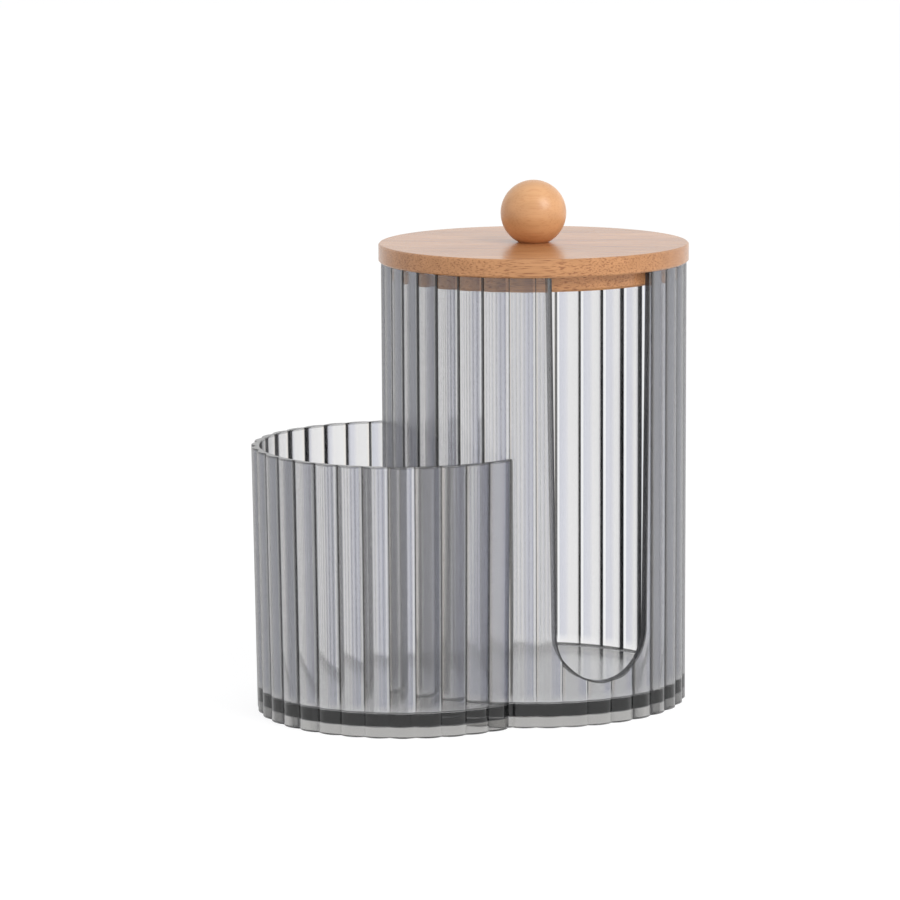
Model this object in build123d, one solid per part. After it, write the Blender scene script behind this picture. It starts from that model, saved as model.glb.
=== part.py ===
from build123d import *
import os
from math import cos, radians, sin, sqrt, tan

# A round canister with a side slot and a lift-off wooden lid, moulded as one piece with a lower open cup.
# Sizes are millimetres and +Z is up. The cup is on the -X side, and the slot faces -Y.

# Driving dimensions of the moulding
CANISTER_HEIGHT = 121.8
CANISTER_CREST_RADIUS = 41.9
CUP_HEIGHT = 73.3
CUP_RIM_CREST_RADIUS = 41.7
CUP_DRAFT_DEGREES = 0.7
AXIS_DISTANCE = 37.9
WALL = 2.3

# Flutes round both bodies, deep on the outside and shallow on the inside
FLUTE_COUNT = 36
OUTER_FLUTE_DEPTH = 1.05
INNER_FLUTE_DEPTH = 0.3

# Floor, and the foot rim that it stands on
FOOT_HEIGHT = 3.0
FLOOR_THICKNESS = 3.4

# Slot in the canister's front wall
SLOT_RIM_WIDTH = 29.5
SLOT_END_WIDTH = 27.0
SLOT_END_HEIGHT = 12.0
SLOT_TURN_DEGREES = 6.4

# Lid board, and the plug under it that drops into the canister
LID_OVERHANG = 0.6
LID_THICKNESS = 5.0
LID_EDGE_CHAMFER = 0.4
PLUG_CLEARANCE = 0.5
PLUG_DEPTH = 4.2
PLUG_EDGE_CHAMFER = 0.6

# Ball knob, with a flat seat
KNOB_DIAMETER = 18.0
KNOB_SEAT_DIAMETER = 8.0

# Countersunk screw that holds the knob from below
SCREW_DIAMETER = 3.5
SCREW_HEAD_DIAMETER = 7.0
SCREW_HEAD_RIM = 0.4
SCREW_GRIP = 8.0
SCREW_POINT_LENGTH = 3.0
SCREW_HOLE_CLEARANCE = 0.2
SCREW_PILOT_CLEARANCE = 0.05
SCREW_HEAD_SINK = 0.2
DRIVE_SLOT_WIDTH = 1.0
DRIVE_SLOT_SPAN = 4.0
DRIVE_SLOT_DEPTH = 1.2

# How far a cutter runs past the surface that it cuts
CUT_MARGIN = 2.0

# Worked out from the driving dimensions
flute_pitch = 360.0 / FLUTE_COUNT
floor_top = FOOT_HEIGHT + FLOOR_THICKNESS
lid_radius = CANISTER_CREST_RADIUS + LID_OVERHANG
plug_radius = CANISTER_CREST_RADIUS - WALL - INNER_FLUTE_DEPTH - PLUG_CLEARANCE
lid_bottom = CANISTER_HEIGHT
lid_top = lid_bottom + LID_THICKNESS
plug_bottom = lid_bottom - PLUG_DEPTH
cup_place = Pos(-AXIS_DISTANCE, 0, 0)

# A valley faces -Y on the canister and a crest does on the cup, so both are even about the XZ plane
cup_first_crest = -90.0
canister_first_crest = cup_first_crest + flute_pitch / 2


def cup_crest(height):
    """The cup's crest radius at a height, which shrinks towards the table by the draft."""
    return CUP_RIM_CREST_RADIUS - (CUP_HEIGHT - height) * tan(radians(CUP_DRAFT_DEGREES))


def fluted_face(crest_radius, flute_depth, first_crest, height):
    """A round outline of outward-bulging flutes that meet in sharp valleys, as a flat face."""
    valley_radius = crest_radius - flute_depth

    def point(radius, angle):
        return (radius * cos(radians(angle)), radius * sin(radians(angle)))

    arcs = []
    for flute in range(FLUTE_COUNT):
        crest = first_crest + flute * flute_pitch
        start = point(valley_radius, crest - flute_pitch / 2)
        end = point(valley_radius, crest + flute_pitch / 2)
        arcs.append(ThreePointArc(start, point(crest_radius, crest), end))
    return Pos(0, 0, height) * make_face(arcs)


def cup_outside(height):
    """A section of the cup's outside."""
    return fluted_face(cup_crest(height), OUTER_FLUTE_DEPTH, cup_first_crest, height)


def cup_inside(height):
    """A section of the space in the cup."""
    return fluted_face(cup_crest(height) - WALL, INNER_FLUTE_DEPTH, cup_first_crest, height)


def disc(radius, bottom, thickness):
    """A flat round board about the Z axis."""
    return extrude(Pos(0, 0, bottom) * Circle(radius), amount=thickness)


def under_floor(radius):
    """A round space from below the table up to the underside of the floor."""
    return disc(radius, -CUT_MARGIN, CUT_MARGIN + FOOT_HEIGHT)


def slot_cutter():
    """A U-shaped prism that goes straight through the canister's front wall."""
    end_radius = SLOT_END_WIDTH / 2
    end_centre = SLOT_END_HEIGHT + end_radius
    rim_half = SLOT_RIM_WIDTH / 2
    widening = (rim_half - end_radius) / (CANISTER_HEIGHT - end_centre)
    top = CANISTER_HEIGHT + CUT_MARGIN
    top_half = rim_half + widening * CUT_MARGIN
    sides = Polyline((-end_radius, end_centre), (-top_half, top), (top_half, top), (end_radius, end_centre))
    end = ThreePointArc((end_radius, end_centre), (0, SLOT_END_HEIGHT), (-end_radius, end_centre))
    outline = make_face([*sides.edges(), end])
    prism = extrude(Plane.XZ * outline, amount=CANISTER_CREST_RADIUS + CUT_MARGIN)
    return Rot(0, 0, SLOT_TURN_DEGREES) * prism


def make_twin_shell():
    """Canister, cup, shared floor and foot rim in one moulding."""
    outline = fluted_face(CANISTER_CREST_RADIUS, OUTER_FLUTE_DEPTH, canister_first_crest, 0)
    bore = fluted_face(CANISTER_CREST_RADIUS - WALL, INNER_FLUTE_DEPTH, canister_first_crest, floor_top)
    canister = extrude(outline, amount=CANISTER_HEIGHT)
    canister_well = extrude(bore, amount=CANISTER_HEIGHT + CUT_MARGIN - floor_top)
    cup = cup_place * loft([cup_outside(0), cup_outside(CUP_HEIGHT)], ruled=True)
    cup_well = cup_place * loft([cup_inside(floor_top), cup_inside(CUP_HEIGHT + CUT_MARGIN)], ruled=True)

    foot_inset = WALL + INNER_FLUTE_DEPTH
    canister_recess = under_floor(CANISTER_CREST_RADIUS - foot_inset)
    divider_foot = under_floor(CANISTER_CREST_RADIUS - OUTER_FLUTE_DEPTH)
    cup_recess = cup_place * under_floor(cup_crest(0) - foot_inset)

    shell = canister + cup
    shell -= canister_well
    shell -= cup_well - canister
    shell -= canister_recess
    shell -= cup_recess - divider_foot
    return shell - slot_cutter()


def screw_form(growth, bottom, tip):
    """A countersunk screw standing on its head, grown all round so that it also cuts its own hole."""
    head_radius = SCREW_HEAD_DIAMETER / 2 + growth
    shank_radius = SCREW_DIAMETER / 2 + growth
    rim_top = plug_bottom + SCREW_HEAD_SINK + SCREW_HEAD_RIM
    cone_top = rim_top + head_radius - shank_radius
    outline = Polyline(
        (0, bottom),
        (head_radius, bottom),
        (head_radius, rim_top),
        (shank_radius, cone_top),
        (shank_radius, tip - SCREW_POINT_LENGTH),
        (0, tip),
        close=True,
    )
    return revolve(Plane.XZ * make_face(outline), Axis.Z)


def make_knob_screw():
    """The screw, with a crossed drive recess in its head."""
    head_bottom = plug_bottom + SCREW_HEAD_SINK
    screw = screw_form(0, head_bottom, screw_tip)
    flat_in_head = Pos(0, 0, head_bottom) * Rectangle(DRIVE_SLOT_SPAN, DRIVE_SLOT_WIDTH)
    drive_slot = extrude(flat_in_head, amount=DRIVE_SLOT_DEPTH)
    return screw - drive_slot - Rot(0, 0, 90) * drive_slot


def make_lid_board():
    """The round board that rests on the canister's rim."""
    board = disc(lid_radius, lid_bottom, LID_THICKNESS)
    return chamfer(board.edges(), LID_EDGE_CHAMFER) - screw_hole


def make_lid_plug():
    """The smaller board under the lid that keeps it centred in the canister."""
    plug = disc(plug_radius, plug_bottom, PLUG_DEPTH)
    return chamfer(plug.edges().group_by(Axis.Z)[0], PLUG_EDGE_CHAMFER) - screw_hole


def make_ball_knob():
    """The ball, cut flat where it sits on the lid and drilled for its screw."""
    radius = KNOB_DIAMETER / 2
    centre = lid_top + sqrt(radius**2 - (KNOB_SEAT_DIAMETER / 2) ** 2)
    ball = Pos(0, 0, centre) * Sphere(radius)
    ball = split(ball, bisect_by=Plane.XY.offset(lid_top), keep=Keep.TOP)
    return ball - screw_form(SCREW_PILOT_CLEARANCE, plug_bottom, screw_tip + SCREW_PILOT_CLEARANCE)


screw_tip = lid_top + SCREW_GRIP
screw_hole = screw_form(SCREW_HOLE_CLEARANCE / 2, plug_bottom - CUT_MARGIN, screw_tip)

nodes = {
    "twin_shell": make_twin_shell(),
    "lid_board": make_lid_board(),
    "lid_plug": make_lid_plug(),
    "ball_knob": make_ball_knob(),
    "knob_screw": make_knob_screw(),
}

# The origin is on the table, halfway along the part, between the cup's far side and the lid's edge
cup_reach = nodes["twin_shell"].bounding_box().min.X
lid_reach = nodes["lid_board"].bounding_box().max.X
place = Pos(-(cup_reach + lid_reach) / 2, 0, 0)

os.makedirs("parts", exist_ok=True)
for name, solid in nodes.items():
    export_step(place * solid, f"parts/{name}.step")
print("canister axis at x", round(place.position.X, 3))
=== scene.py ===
import math
from types import SimpleNamespace

import bmesh
import bpy
from mathutils import Matrix, Vector


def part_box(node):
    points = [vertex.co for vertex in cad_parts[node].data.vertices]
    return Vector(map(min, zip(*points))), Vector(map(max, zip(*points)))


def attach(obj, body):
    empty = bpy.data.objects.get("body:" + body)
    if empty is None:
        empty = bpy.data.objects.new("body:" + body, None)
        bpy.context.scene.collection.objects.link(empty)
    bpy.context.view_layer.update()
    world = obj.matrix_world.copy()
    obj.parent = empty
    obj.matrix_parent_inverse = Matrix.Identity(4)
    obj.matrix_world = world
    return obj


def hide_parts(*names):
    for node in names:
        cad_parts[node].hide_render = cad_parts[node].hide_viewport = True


MM = 0.001

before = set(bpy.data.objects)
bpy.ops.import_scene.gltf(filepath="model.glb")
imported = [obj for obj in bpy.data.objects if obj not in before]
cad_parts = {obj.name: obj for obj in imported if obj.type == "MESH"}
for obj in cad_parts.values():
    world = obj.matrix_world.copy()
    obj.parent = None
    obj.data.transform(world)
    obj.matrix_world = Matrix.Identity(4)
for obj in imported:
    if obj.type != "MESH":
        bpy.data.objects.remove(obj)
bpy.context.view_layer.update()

# Sizes of the moulding, as its solid has them
FLUTE_COUNT = 36
OUTER_FLUTE_DEPTH = 1.05 * MM
WALL = 2.3 * MM
CANISTER_CREST_RADIUS = 41.9 * MM
CUP_RIM_CREST_RADIUS = 41.7 * MM
CUP_DRAFT = math.radians(0.7)
AXIS_DISTANCE = 37.9 * MM
CUP_HEIGHT = 73.3 * MM
FOOT_HEIGHT = 3.0 * MM
FLOOR_TOP = 6.4 * MM
SLOT_RIM_WIDTH = 29.5 * MM
SLOT_END_WIDTH = 27.0 * MM
SLOT_END_HEIGHT = 12.0 * MM
SLOT_TURN = math.radians(6.4)

# What differs from the solid: wells without flutes, and rounded edges and corners
WELL_FLUTE_DEPTH = 0.0
RIM_ROUNDING = 0.35 * MM
FOOT_ROUNDING = 0.3 * MM
RECESS_ROUNDING = 0.3 * MM
FLOOR_COVE = 0.25 * MM
DIVIDER_SINK = WALL / 20
FLARE_OVERLAP = WALL / 4

# How finely curves are cut up, and how far a cutter runs past what it cuts
FLUTE_STEPS = 18
ROUNDING_STEPS = 4
COVE_STEPS = 6
SLOT_STEPS = 48
CREASE_ANGLE = math.radians(30)
CUT_MARGIN = 2.0 * MM
SLOT_CUT_START = 0.3 * CANISTER_CREST_RADIUS

# Where the two bodies stand, and how their flutes and the slot are turned
CANISTER_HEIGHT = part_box("twin_shell")[1].z
lid_low, lid_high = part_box("lid_board")
canister_axis = (lid_low + lid_high) / 2
canister_axis.z = 0
cup_axis = canister_axis - Vector((AXIS_DISTANCE, 0, 0))
PITCH = 2 * math.pi / FLUTE_COUNT
CUP_FIRST_CREST = -math.pi / 2
CANISTER_FIRST_CREST = CUP_FIRST_CREST + PITCH / 2
slot_across = Vector((math.cos(SLOT_TURN), math.sin(SLOT_TURN), 0))
slot_out = Vector((math.sin(SLOT_TURN), -math.cos(SLOT_TURN), 0))
slot_end_radius = SLOT_END_WIDTH / 2
slot_end_centre = SLOT_END_HEIGHT + slot_end_radius
slot_widening = (SLOT_RIM_WIDTH / 2 - slot_end_radius) / (CANISTER_HEIGHT - slot_end_centre)

# Distances from the two axes that tell the canister from the cup, and an outside from the wells
CANISTER_REACH = CANISTER_CREST_RADIUS + 0.1 * MM
CANISTER_SURFACE = CANISTER_CREST_RADIUS - OUTER_FLUTE_DEPTH - 0.5 * MM
CUP_SURFACE = 39.55 * MM
CUP_WELL = 39.0 * MM

# Painted shade lines in the plastic: their widths, those of the valleys as shares of half a flute
EDGE_LINE = 0.5 * MM
FLOOR_LINE_START = 0.05 * MM
SLOT_FACE_BACK = -0.05 * MM
SLOT_FACE_FRONT = 0.02 * MM
WIDE_VALLEY = 0.11
NARROW_VALLEY = 0.05

# Painted shade lines in the plastic: how dark each is painted
WELL_VALLEY_PAINTED_SHADE = 0.05
DIVIDER_VALLEY_PAINTED_SHADE = 0.08
CUP_VALLEY_PAINTED_SHADE = 0.3
FLOOR_LINE_PAINTED_SHADE = 0.08
BAND_PAINTED_SHADE = 0.3
CUP_RIM_PAINTED_SHADE = 0.4
SLOT_EDGE_PAINTED_SHADE = 0.1
SLOT_FACE_PAINTED_SHADE = 0.5

# Tints of the plastic's surfaces, with painted light and shade across the flutes from one valley to the
# next, painted shade on the foot, and painted shade at grazing angles by Fresnel
PLASTIC_TINT = (0.97, 0.965, 0.965)
LEVEL_TINT = (0.97, 0.97, 0.97)
LEVEL_NORMAL = 0.7
# Painted shade on the foot rim, below the foot's height
FOOT_PAINTED_SHADE = (0.5, 0.495, 0.48)
TONE_RISE = 3 * MM
# Painted light and shade across each flute, valley to valley: dark lines by the valleys, light strips beside
# them and bluish shade between
FLUTE_PAINTED_LIGHT_AND_SHADE = [
    (0.0, (0.70, 0.68, 0.64)),
    (0.05, (0.86, 0.80, 0.72)),
    (0.12, (0.80, 0.80, 0.80)),
    (0.50, (0.80, 0.795, 0.80)),
    (0.65, (0.58, 0.59, 0.68)),
    (0.88, (0.48, 0.50, 0.61)),
    (0.90, (0.96, 0.98, 1.0)),
    (0.95, (0.98, 0.99, 1.0)),
    (1.0, (0.62, 0.64, 0.70)),
]
# Painted shade at grazing angles, darker as the Fresnel value rises
GRAZING_PAINTED_SHADE = [
    (0.0, (1.0, 1.0, 1.0)),
    (0.07, (1.0, 1.0, 1.0)),
    (0.12, (0.75, 0.75, 0.76)),
    (0.2, (0.5, 0.5, 0.52)),
    (0.35, (0.25, 0.25, 0.26)),
    (0.6, (0.08, 0.08, 0.08)),
]

# The plastic itself, and the painted shade, a dark diffuse mixed in, that it shows at grazing angles and on
# the slot's cut face
PLASTIC_ROUGHNESS = 0.12
PLASTIC_IOR = 1.57
ABSORPTION_COLOUR = (0.30, 0.31, 0.32)
ABSORPTION_DENSITY = 72.0
PASSING_COLOUR = (0.86, 0.865, 0.88)
PAINTED_SHADE_COLOUR = (0.08, 0.08, 0.085)
PAINTED_SHADE_FROM = 0.2
PAINTED_SHADE_TO = 0.8
PAINTED_SHADE_AT_GRAZING = 0.55
PAINTED_SHADE_ON_SLOT_FACE = 0.35

# Wood: its grain's direction, and how fibres, bands and glued strips vary it
GRAIN_TURN = -0.342
FIBRE_DETAIL = 3.0
FIBRE_BREAKUP = 0.6
DARK_FIBRE = 0.36
LIGHT_FIBRE = 0.5
BAND_DETAIL = 1.0
BAND_FIBRE_LENGTHS = 3
BAND_FIBRE_WIDTHS = 9
BAND_SHADES = [(0.3, (0.90, 0.885, 0.87)), (0.7, (1.0, 1.0, 1.0))]
STRIP_SHADES = [(0.0, (0.86, 0.84, 0.82)), (1.0, (1.06, 1.06, 1.06))]
GLOSS_SPREAD = 0.12
RELIEF_STRENGTH = 0.3

# Steel: its fine scratches
SCRATCH_TURN = 0.4
SCRATCH_LENGTH = 8 * MM
SCRATCH_WIDTH = 0.15 * MM
SCRATCH_DETAIL = 2.0
STEEL_SHADES = [(0.3, (0.50, 0.50, 0.50)), (0.7, (0.66, 0.66, 0.65))]
STEEL_ROUGHNESS = 0.22
STEEL_ROUGHNESS_SPREAD = 0.2

# Camera, fitted to the photograph
FOCAL_LENGTH = 166.10
SENSOR_WIDTH = 36
CAMERA_PLACE = Vector((-0.38304, -1.05806, 0.25125))
CAMERA_PITCH = 0.1595
CAMERA_YAW = 0.3423
CAMERA_ROLL = -0.0052

# Light, and how the white floor is made up of its own glow and what the light adds
WHITE = (1.0, 1.0, 1.0)
WORLD_LEVEL = 0.68
FLOOR_SIZE = 6.0
FLOOR_COLOUR = (0.9, 0.9, 0.9)
FLOOR_LIT = (0.3, 0.3, 0.3)
FLOOR_GLOW = 0.8
KEY_PLACE = (0.5, -1.0, 0.9)
KEY_TARGET = (0, 0, 0.1)
KEY_SIZE = 0.7
KEY_POWER = 9.5
SEEN_RAYS = ("Is Camera Ray", "Is Glossy Ray", "Is Transmission Ray")


def flute_radius(crest_radius, depth, turn):
    """Radius of a fluted outline at an angle from a crest."""
    across = min(abs(turn) / (PITCH / 2), 1.0)
    return crest_radius - depth * across**2


def flute_turns():
    """Angles from a crest at which one flute is sampled, closer together towards its valleys."""
    steps = [math.pi * (step / FLUTE_STEPS - 0.5) for step in range(FLUTE_STEPS)]
    return [PITCH / 2 * math.sin(step) for step in steps]


class Body:
    """One of the moulding's two round bodies."""

    def __init__(self, axis, crest_radius, height, draft, first_crest):
        self.axis = axis
        self.crest_radius = crest_radius
        self.height = height
        self.draft = draft
        self.first_crest = first_crest

    def ring(self, z, inset, wall, depth):
        """Points of a fluted ring at a height, a wall and an inset further in than the outside."""
        crest_radius = self.crest_radius - wall - (self.height - z) * math.tan(self.draft)
        points = []
        for flute in range(FLUTE_COUNT):
            for turn in flute_turns():
                radius = flute_radius(crest_radius, depth, turn) - inset
                angle = self.first_crest + flute * PITCH + turn
                points.append(self.axis + Vector((radius * math.cos(angle), radius * math.sin(angle), z)))
        return points

    def outside(self, levels):
        """Rings of the outside at pairs of height and inset."""
        return [self.ring(z, inset, 0.0, OUTER_FLUTE_DEPTH) for z, inset in levels]

    def inside(self, levels):
        """Rings of the well's wall at pairs of height and inset."""
        return [self.ring(z, inset, WALL, WELL_FLUTE_DEPTH) for z, inset in levels]


def mesh_object(name, mesh):
    """An object in the scene made from a bmesh, which is freed."""
    data = bpy.data.meshes.new(name)
    mesh.to_mesh(data)
    mesh.free()
    thing = bpy.data.objects.new(name, data)
    bpy.context.scene.collection.objects.link(thing)
    return thing


def column(name, rings):
    """A closed solid from rings of equally many points, in the order in which they are stacked."""
    mesh = bmesh.new()
    rows = [[mesh.verts.new(point) for point in ring] for ring in rings]
    count = len(rows[0])
    for low, high in zip(rows, rows[1:]):
        for i in range(count):
            j = (i + 1) % count
            mesh.faces.new((low[i], low[j], high[j], high[i]))
    mesh.faces.new(list(reversed(rows[0])))
    mesh.faces.new(rows[-1])
    return mesh_object(name, mesh)


def apply_boolean(target, tool, operation):
    """Joins, cuts or intersects target with tool, and removes tool."""
    modifier = target.modifiers.new("boolean", "BOOLEAN")
    modifier.operation = operation
    modifier.object = tool
    modifier.solver = "EXACT"
    bpy.context.view_layer.objects.active = target
    bpy.ops.object.modifier_apply(modifier=modifier.name)
    bpy.data.objects.remove(tool)


def smooth_by_angle(thing, angle):
    """Smooth shading, with creases kept where faces meet at more than angle."""
    thing.data.shade_smooth()
    thing.data.set_sharp_from_angle(angle=angle)
    modifier = thing.modifiers.new("weighted", "WEIGHTED_NORMAL")
    modifier.keep_sharp = True
    modifier.weight = 100
    bpy.context.view_layer.objects.active = thing
    bpy.ops.object.modifier_apply(modifier=modifier.name)


def quarter_turns(steps):
    """Angles from 0 to a quarter turn."""
    return [math.pi / 2 * step / steps for step in range(steps + 1)]


def rounded(z, radius, outward, rising):
    """Heights and insets of a quarter round at an edge at height z.

    outward is 1 for an edge that the outline draws in at, and -1 for one that it flares out at.
    rising is 1 for an upper edge and -1 for a lower one, and the list always runs upwards.
    """
    pairs = []
    for t in quarter_turns(ROUNDING_STEPS):
        pairs.append((z - rising * radius * (1 - math.sin(t)), outward * radius * (1 - math.cos(t))))
    return pairs if rising > 0 else pairs[::-1]


def cove(z, radius):
    """Heights and insets of the rounded corner where a floor at height z meets a wall, upwards."""
    return [
        (z + radius * (1 - math.cos(t)), radius * (1 - math.sin(t)))
        for t in quarter_turns(COVE_STEPS)
    ]


def well_levels(top):
    """A cutter's levels for the space above the floor, open at the top with a rounded inner rim."""
    return [
        *cove(FLOOR_TOP, FLOOR_COVE),
        *rounded(top, RIM_ROUNDING, -1, 1),
        (top + CUT_MARGIN, -RIM_ROUNDING),
    ]


def recess_levels():
    """A cutter's levels for the space under the floor, open at the table."""
    return [
        (-CUT_MARGIN, -FOOT_ROUNDING),
        *rounded(0, FOOT_ROUNDING, -1, -1),
        *rounded(FOOT_HEIGHT, RECESS_ROUNDING, 1, 1),
    ]


def outer_levels(top):
    """The levels of a body's outside, from its foot to its rim."""
    return rounded(0, FOOT_ROUNDING, 1, -1) + rounded(top, RIM_ROUNDING, 1, 1)


def divider_flare():
    """The rounded corner where the cup's floor meets the canister's outside."""
    corner = [(z, -inset) for z, inset in cove(FLOOR_TOP, FLOOR_COVE)]
    top = corner.pop()[0]
    levels = [(FLOOR_TOP - FLOOR_COVE / 2, -FLOOR_COVE), *corner, (top, DIVIDER_SINK)]
    flare = column("flare", canister.outside(levels))
    well = column("well", cup.inside([(0, -FLARE_OVERLAP), (CUP_HEIGHT, -FLARE_OVERLAP)]))
    apply_boolean(flare, well, "INTERSECT")
    return flare


def slot_cutter():
    """A U-shaped prism through the canister's front wall."""
    top = CANISTER_HEIGHT + CUT_MARGIN
    top_half = SLOT_RIM_WIDTH / 2 + slot_widening * CUT_MARGIN
    outline = [(top_half, top), (-top_half, top)]
    for step in range(SLOT_STEPS + 1):
        t = math.pi * step / SLOT_STEPS
        outline.append((-slot_end_radius * math.cos(t), slot_end_centre - slot_end_radius * math.sin(t)))
    rings = []
    for distance in (SLOT_CUT_START, CANISTER_CREST_RADIUS + CUT_MARGIN):
        rings.append([
            canister_axis + slot_across * x + slot_out * distance + Vector((0, 0, z))
            for x, z in outline
        ])
    return column("slot_cutter", rings)


def make_shell():
    """The twin moulding: canister, cup, floor and foot rim."""
    shell = column("shell", cup.outside(outer_levels(CUP_HEIGHT)))
    for levels in (well_levels(CUP_HEIGHT), recess_levels()):
        apply_boolean(shell, column("cut", cup.inside(levels)), "DIFFERENCE")
    apply_boolean(shell, column("canister", canister.outside(outer_levels(CANISTER_HEIGHT))), "UNION")
    apply_boolean(shell, divider_flare(), "UNION")
    for levels in (well_levels(CANISTER_HEIGHT), recess_levels()):
        apply_boolean(shell, column("cut", canister.inside(levels)), "DIFFERENCE")
    apply_boolean(shell, slot_cutter(), "DIFFERENCE")
    smooth_by_angle(shell, CREASE_ANGLE)
    shell.name = "fluted_shell"
    return shell


class Sketch:
    """Builds one node tree, with short calls for what the materials and the world need."""

    def __init__(self, owner, output_kind):
        owner.use_nodes = True
        self.owner = owner
        self.nodes = owner.node_tree.nodes
        self.links = owner.node_tree.links
        self.nodes.clear()
        self.output = self.add(output_kind)

    def add(self, kind, inputs=None, **settings):
        """A node, with its settings given by name and its inputs by name or number."""
        node = self.nodes.new(kind)
        for key, value in settings.items():
            setattr(node, key, value)
        for key, value in (inputs or {}).items():
            self.feed(node.inputs[key], value)
        return node

    def feed(self, socket, value):
        """Links a socket to another one, or sets it to a plain value, a colour without its alpha."""
        if isinstance(value, bpy.types.NodeSocket):
            self.links.new(value, socket)
        elif socket.type == "RGBA":
            socket.default_value = (*value, 1)
        else:
            socket.default_value = value

    def calc(self, operation, *values):
        """One step of arithmetic on numbers or sockets."""
        return self.add("ShaderNodeMath", dict(enumerate(values)), operation=operation).outputs[0]

    def product(self, first, *others):
        """Numbers multiplied, so that of switches it is 1 where all of them are 1."""
        for other in others:
            first = self.calc("MULTIPLY", first, other)
        return first

    def opposite(self, switch):
        """0 where a switch is 1, and 1 where it is 0."""
        return self.calc("SUBTRACT", 1.0, switch)

    def between(self, value, low, high):
        """1 where value lies between low and high, and 0 elsewhere."""
        return self.product(self.calc("GREATER_THAN", value, low), self.calc("LESS_THAN", value, high))

    def climb(self, value, low, high, most=1.0):
        """0 up to low, rising evenly to most at high."""
        inputs = {"Value": value, "From Min": low, "From Max": high, "To Max": most}
        return self.add("ShaderNodeMapRange", inputs).outputs[0]

    def ramp(self, value, stops, smooth=False):
        """A colour looked up from a number, from pairs of position and colour."""
        node = self.add("ShaderNodeValToRGB", {0: value})
        if smooth:
            node.color_ramp.interpolation = "EASE"
        elements = node.color_ramp.elements
        elements[0].position, elements[0].color = stops[0][0], (*stops[0][1], 1)
        elements[1].position, elements[1].color = stops[-1][0], (*stops[-1][1], 1)
        for position, colour in stops[1:-1]:
            elements.new(position).color = (*colour, 1)
        return node.outputs[0]

    def blend(self, kind, amount, first, second):
        """Two colours put together in the way that kind names."""
        inputs = {0: amount, 6: first, 7: second}
        return self.add("ShaderNodeMix", inputs, data_type="RGBA", blend_type=kind).outputs[2]

    def mixed(self, amount, first, second):
        """Two shaders mixed."""
        return self.add("ShaderNodeMixShader", {0: amount, 1: first, 2: second}).outputs[0]

    def either_ray(self, *kinds):
        """1 for a light path of one of these kinds, and 0 for any other."""
        path = self.add("ShaderNodeLightPath")
        found = path.outputs[kinds[0]]
        for kind in kinds[1:]:
            found = self.calc("MAXIMUM", found, path.outputs[kind])
        return found

    def object_place(self):
        """The shaded point in the object's own coordinates."""
        return self.add("ShaderNodeTexCoord").outputs["Object"]

    def finish(self, **shaders):
        """Links shaders to the output, and gives back what the nodes belong to."""
        for key, shader in shaders.items():
            self.links.new(shader, self.output.inputs[key])
        return self.owner


def material_sketch(name):
    """A new material's nodes."""
    return Sketch(bpy.data.materials.new(name), "ShaderNodeOutputMaterial")


def flute_phase(sketch, x, y, body):
    """How far a point is from a crest, from 0 there to -1 and 1 at the valleys beside it."""
    from_axis_x = sketch.calc("SUBTRACT", x, body.axis.x)
    from_axis_y = sketch.calc("SUBTRACT", y, body.axis.y)
    angle = sketch.calc("ARCTAN2", from_axis_y, from_axis_x)
    turns = sketch.calc("DIVIDE", sketch.calc("SUBTRACT", angle, body.first_crest), PITCH)
    part = sketch.calc("SUBTRACT", turns, sketch.calc("ROUND", turns))
    return sketch.calc("MULTIPLY", part, 2.0)


def distance_from(sketch, x, y, body):
    """A point's distance from a body's axis."""
    across = sketch.calc("POWER", sketch.calc("SUBTRACT", x, body.axis.x), 2.0)
    along = sketch.calc("POWER", sketch.calc("SUBTRACT", y, body.axis.y), 2.0)
    return sketch.calc("SQRT", sketch.calc("ADD", across, along))


def distance_along(sketch, x, y, direction):
    """How far a point lies in a level direction."""
    return sketch.calc("ADD", sketch.product(x, direction.x), sketch.product(y, direction.y))


def slot_gap(sketch, x, y, z):
    """How far a point of the canister's front wall lies outside the slot, and about 1 m behind the axis."""
    x = sketch.calc("SUBTRACT", x, canister_axis.x)
    across = distance_along(sketch, x, y, slot_across)
    behind = sketch.calc("LESS_THAN", distance_along(sketch, x, y, slot_out), 0.0)
    rise = sketch.calc("SUBTRACT", z, slot_end_centre)
    below = sketch.calc("POWER", sketch.calc("MINIMUM", rise, 0.0), 2.0)
    reach = sketch.calc("SQRT", sketch.calc("ADD", sketch.calc("POWER", across, 2.0), below))
    half = sketch.calc("MULTIPLY_ADD", sketch.calc("MAXIMUM", rise, 0.0), slot_widening, slot_end_radius)
    return sketch.calc("ADD", sketch.calc("SUBTRACT", reach, half), behind)


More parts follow.
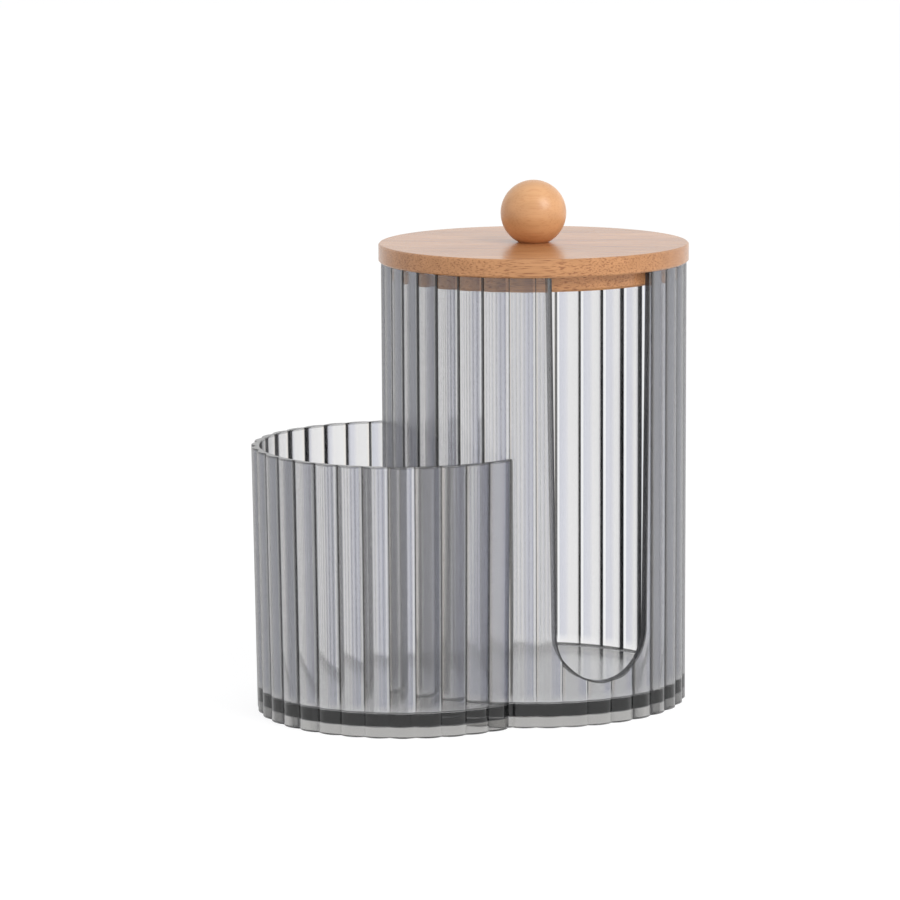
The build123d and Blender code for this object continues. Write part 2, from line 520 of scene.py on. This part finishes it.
def find_places(sketch):
    """Numbers that say where on the moulding a point is, most of them switches of 0 or 1."""
    x, y, z = sketch.add("ShaderNodeSeparateXYZ", {0: sketch.object_place()}).outputs
    from_canister = distance_from(sketch, x, y, canister)
    from_cup = distance_from(sketch, x, y, cup)
    on_canister = sketch.calc("LESS_THAN", from_canister, CANISTER_REACH)
    on_cup = sketch.opposite(on_canister)
    phase = sketch.calc(
        "ADD",
        sketch.product(on_canister, flute_phase(sketch, x, y, canister)),
        sketch.product(on_cup, flute_phase(sketch, x, y, cup)),
    )
    from_valley = sketch.opposite(sketch.calc("ABSOLUTE", phase))
    wide = sketch.calc("LESS_THAN", from_valley, WIDE_VALLEY)
    narrow = sketch.calc("LESS_THAN", from_valley, NARROW_VALLEY)

    outside = sketch.calc(
        "MAXIMUM",
        sketch.product(on_canister, sketch.calc("GREATER_THAN", from_canister, CANISTER_SURFACE)),
        sketch.product(on_cup, sketch.calc("GREATER_THAN", from_cup, CUP_SURFACE)),
    )
    inside = sketch.opposite(outside)
    in_cup = sketch.calc("LESS_THAN", from_cup, CUP_WELL)
    above_floor = sketch.climb(z, FLOOR_TOP, FLOOR_TOP + TONE_RISE)
    fluted = sketch.product(outside, above_floor)
    on_divider = sketch.product(fluted, sketch.product(on_canister, in_cup))
    in_well = sketch.calc("MAXIMUM", inside, in_cup)
    at_floor = sketch.between(z, FLOOR_TOP + FLOOR_LINE_START, FLOOR_TOP + EDGE_LINE)
    gap = slot_gap(sketch, x, y, z)

    normal = sketch.add("ShaderNodeNewGeometry").outputs["True Normal"]
    upward = sketch.add("ShaderNodeSeparateXYZ", {0: normal}).outputs["Z"]
    level = sketch.calc("GREATER_THAN", sketch.calc("ABSOLUTE", upward), LEVEL_NORMAL)
    return SimpleNamespace(
        across_flute=sketch.calc("MULTIPLY_ADD", phase, 0.5, 0.5),
        fluted=fluted,
        foot=sketch.calc("LESS_THAN", z, FOOT_HEIGHT),
        level=level,
        upright=sketch.opposite(level),
        well_valley=sketch.product(inside, above_floor, wide),
        divider_valley=sketch.product(on_divider, wide),
        cup_valley=sketch.product(fluted, on_cup, narrow),
        floor_line=sketch.product(in_well, at_floor),
        band=sketch.product(outside, sketch.between(z, FOOT_HEIGHT, FLOOR_TOP)),
        cup_rim=sketch.product(on_cup, sketch.calc("GREATER_THAN", z, CUP_HEIGHT - EDGE_LINE)),
        slot_edge=sketch.between(gap, SLOT_FACE_FRONT, EDGE_LINE),
        slot_face=sketch.between(gap, SLOT_FACE_BACK, SLOT_FACE_FRONT),
    )


def plastic_tint_and_painted_shade(sketch, places, fresnel):
    """The plastic's tint, with painted shade where flutes and edges bend the light away and at grazing
    angles, and painted light beside the valleys.
    """
    # Painted light and shade across the flutes, fading in above the floor
    colour = sketch.blend("MIX", places.fluted, PLASTIC_TINT, sketch.ramp(places.across_flute, FLUTE_PAINTED_LIGHT_AND_SHADE))
    # Painted shade on the foot
    colour = sketch.blend("MULTIPLY", places.foot, colour, FOOT_PAINTED_SHADE)
    colour = sketch.blend("MIX", places.level, colour, LEVEL_TINT)
    # Painted shade lines at the valleys, the floor's edge, the band, the cup's rim and the slot
    for painted_place, shade_level in (
        (places.well_valley, WELL_VALLEY_PAINTED_SHADE),
        (places.divider_valley, DIVIDER_VALLEY_PAINTED_SHADE),
        (places.cup_valley, CUP_VALLEY_PAINTED_SHADE),
        (places.floor_line, FLOOR_LINE_PAINTED_SHADE),
        (places.band, BAND_PAINTED_SHADE),
        (places.cup_rim, CUP_RIM_PAINTED_SHADE),
        (places.slot_edge, SLOT_EDGE_PAINTED_SHADE),
        (places.slot_face, SLOT_FACE_PAINTED_SHADE),
    ):
        colour = sketch.blend("MULTIPLY", painted_place, colour, (shade_level, shade_level, shade_level))
    # Painted shade on upright faces at grazing angles
    return sketch.blend("MULTIPLY", places.upright, colour, sketch.ramp(fresnel, GRAZING_PAINTED_SHADE))


def clear_plastic():
    """Smoky clear plastic that bends light, and that shadows and soft light pass straight through, with a
    dark diffuse mixed in as painted shade at grazing angles and on the slot's cut face.
    """
    sketch = material_sketch("smoky_plastic")
    places = find_places(sketch)
    fresnel = sketch.add("ShaderNodeFresnel", {"IOR": PLASTIC_IOR}).outputs[0]
    surface = sketch.add("ShaderNodeBsdfPrincipled", {
        "Base Color": plastic_tint_and_painted_shade(sketch, places, fresnel),
        "Roughness": PLASTIC_ROUGHNESS,
        "IOR": PLASTIC_IOR,
        "Transmission Weight": 1.0,
    })
    # A dark diffuse, mixed in as painted shade at grazing angles and on the slot's cut face
    dark = sketch.add("ShaderNodeBsdfDiffuse", {"Color": PAINTED_SHADE_COLOUR})
    at_grazing = sketch.product(places.upright, sketch.climb(fresnel, PAINTED_SHADE_FROM, PAINTED_SHADE_TO, PAINTED_SHADE_AT_GRAZING))
    painted_shade_amount = sketch.calc("MAXIMUM", at_grazing, sketch.product(places.slot_face, PAINTED_SHADE_ON_SLOT_FACE))
    body = sketch.mixed(painted_shade_amount, surface.outputs[0], dark.outputs[0])
    passing = sketch.add("ShaderNodeBsdfTransparent", {"Color": PASSING_COLOUR})
    straight = sketch.either_ray("Is Shadow Ray", "Is Diffuse Ray")
    absorb = sketch.add("ShaderNodeVolumeAbsorption", {
        "Color": ABSORPTION_COLOUR,
        "Density": ABSORPTION_DENSITY,
    })
    return sketch.finish(
        Surface=sketch.mixed(straight, body, passing.outputs[0]),
        Volume=absorb.outputs[0],
    )


def grain_place(sketch, turn, along, across):
    """Coordinates for a grain, stretched so that it runs along one level direction."""
    return sketch.add(
        "ShaderNodeMapping",
        {"Vector": sketch.object_place(), "Rotation": (0, 0, turn), "Scale": (along, across, across)},
        vector_type="TEXTURE",
    ).outputs[0]


def noise(sketch, place, detail, roughness=0.5):
    """A number from 0 to 1 that wanders over about one unit of place."""
    inputs = {"Vector": place, "Scale": 1.0, "Detail": detail, "Roughness": roughness}
    return sketch.add("ShaderNodeTexNoise", inputs).outputs["Fac"]


def strip_shades(sketch, width):
    """A shade for each glued strip."""
    place = sketch.add("ShaderNodeSeparateXYZ", {0: grain_place(sketch, GRAIN_TURN, 1.0, width)})
    strip = sketch.calc("FLOOR", place.outputs["Y"])
    lottery = sketch.add("ShaderNodeTexWhiteNoise", noise_dimensions="1D")
    sketch.feed(lottery.inputs["W"], strip)
    return sketch.ramp(lottery.outputs["Value"], STRIP_SHADES)


def wood(name, light, dark, fibre_length, fibre_width, roughness, relief, strip_width=None):
    """Fine-fibred wood: fibres that show as specks in the end grain, soft bands and a little relief."""
    sketch = material_sketch(name)
    fibre_place = grain_place(sketch, GRAIN_TURN, fibre_length, fibre_width)
    fibres = noise(sketch, fibre_place, FIBRE_DETAIL, FIBRE_BREAKUP)
    band_length = fibre_length * BAND_FIBRE_LENGTHS
    band_width = fibre_width * BAND_FIBRE_WIDTHS
    bands = noise(sketch, grain_place(sketch, GRAIN_TURN, band_length, band_width), BAND_DETAIL)
    streaks = sketch.ramp(fibres, [(DARK_FIBRE, dark), (LIGHT_FIBRE, light)])
    colour = sketch.blend("MULTIPLY", 1.0, streaks, sketch.ramp(bands, BAND_SHADES, smooth=True))
    if strip_width:
        colour = sketch.blend("MULTIPLY", 1.0, colour, strip_shades(sketch, strip_width))
    bump = sketch.add("ShaderNodeBump", {"Strength": RELIEF_STRENGTH, "Distance": relief, "Height": fibres})
    surface = sketch.add("ShaderNodeBsdfPrincipled", {
        "Base Color": colour,
        "Roughness": sketch.calc("MULTIPLY_ADD", fibres, -GLOSS_SPREAD, roughness + GLOSS_SPREAD / 2),
        "Normal": bump.outputs[0],
    })
    return sketch.finish(Surface=surface.outputs[0])


def turned_steel(name):
    """Bare steel with fine scratches."""
    sketch = material_sketch(name)
    place = grain_place(sketch, SCRATCH_TURN, SCRATCH_LENGTH, SCRATCH_WIDTH)
    scratches = noise(sketch, place, SCRATCH_DETAIL)
    surface = sketch.add("ShaderNodeBsdfPrincipled", {
        "Base Color": sketch.ramp(scratches, STEEL_SHADES),
        "Metallic": 1.0,
        "Roughness": sketch.calc("MULTIPLY_ADD", scratches, STEEL_ROUGHNESS_SPREAD, STEEL_ROUGHNESS),
    })
    return sketch.finish(Surface=surface.outputs[0])


def make_camera():
    """The camera, with the photograph's view."""
    data = bpy.data.cameras.new("camera")
    data.lens = FOCAL_LENGTH
    data.sensor_width = SENSOR_WIDTH
    camera = bpy.data.objects.new("camera", data)
    camera.location = CAMERA_PLACE
    yawed = Matrix.Rotation(-CAMERA_YAW, 3, "Z")
    pitched = Matrix.Rotation(math.pi / 2 - CAMERA_PITCH, 3, "X")
    rolled = Matrix.Rotation(CAMERA_ROLL, 3, "Z")
    camera.rotation_euler = (yawed @ pitched @ rolled).to_euler()
    bpy.context.scene.collection.objects.link(camera)
    bpy.context.scene.camera = camera


def make_world():
    """White to the camera and in glass and gloss, and a soft even light on everything else."""
    world = bpy.data.worlds.new("studio")
    bpy.context.scene.world = world
    sketch = Sketch(world, "ShaderNodeOutputWorld")
    soft = sketch.add("ShaderNodeBackground", {"Color": WHITE, "Strength": WORLD_LEVEL})
    white = sketch.add("ShaderNodeBackground", {"Color": WHITE})
    seen = sketch.either_ray(*SEEN_RAYS)
    sketch.finish(Surface=sketch.mixed(seen, soft.outputs[0], white.outputs[0]))


def make_floor():
    """A plain white floor that keeps the object's shadow."""
    mesh = bmesh.new()
    bmesh.ops.create_grid(mesh, x_segments=1, y_segments=1, size=FLOOR_SIZE)
    floor = mesh_object("floor", mesh)
    sketch = material_sketch("floor")
    plain = sketch.add("ShaderNodeBsdfDiffuse", {"Color": FLOOR_COLOUR})
    lit = sketch.add("ShaderNodeBsdfDiffuse", {"Color": FLOOR_LIT})
    glow = sketch.add("ShaderNodeEmission", {"Strength": FLOOR_GLOW})
    both = sketch.add("ShaderNodeAddShader", {0: lit.outputs[0], 1: glow.outputs[0]})
    seen = sketch.either_ray(*SEEN_RAYS)
    floor.data.materials.append(sketch.finish(Surface=sketch.mixed(seen, plain.outputs[0], both.outputs[0])))


def make_key_light():
    """One large soft lamp, from the front right."""
    data = bpy.data.lights.new("key", "AREA")
    data.shape = "SQUARE"
    data.size = KEY_SIZE
    data.energy = KEY_POWER
    lamp = bpy.data.objects.new("key", data)
    lamp.location = KEY_PLACE
    lamp.rotation_euler = (Vector(KEY_TARGET) - Vector(KEY_PLACE)).to_track_quat("-Z", "Y").to_euler()
    bpy.context.scene.collection.objects.link(lamp)


canister = Body(canister_axis, CANISTER_CREST_RADIUS, CANISTER_HEIGHT, 0.0, CANISTER_FIRST_CREST)
cup = Body(cup_axis, CUP_RIM_CREST_RADIUS, CUP_HEIGHT, CUP_DRAFT, CUP_FIRST_CREST)

shell = make_shell()
shell.data.materials.append(clear_plastic())
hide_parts("twin_shell")
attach(shell, "holder")

bamboo = wood(
    "bamboo",
    light=(0.61, 0.30, 0.13),
    dark=(0.33, 0.13, 0.05),
    fibre_length=11 * MM,
    fibre_width=0.33 * MM,
    roughness=0.24,
    relief=0.04 * MM,
    strip_width=7 * MM,
)
knob_wood = wood(
    "knob_wood",
    light=(0.77, 0.42, 0.20),
    dark=(0.71, 0.36, 0.165),
    fibre_length=12 * MM,
    fibre_width=0.4 * MM,
    roughness=0.34,
    relief=0.01 * MM,
)
steel = turned_steel("screw_steel")
for node, material in (
    ("lid_board", bamboo),
    ("lid_plug", bamboo),
    ("ball_knob", knob_wood),
    ("knob_screw", steel),
):
    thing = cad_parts[node]
    thing.data.materials.clear()
    thing.data.materials.append(material)

make_camera()
make_world()
make_floor()
make_key_light()
bpy.context.scene.view_settings.view_transform = "Standard"
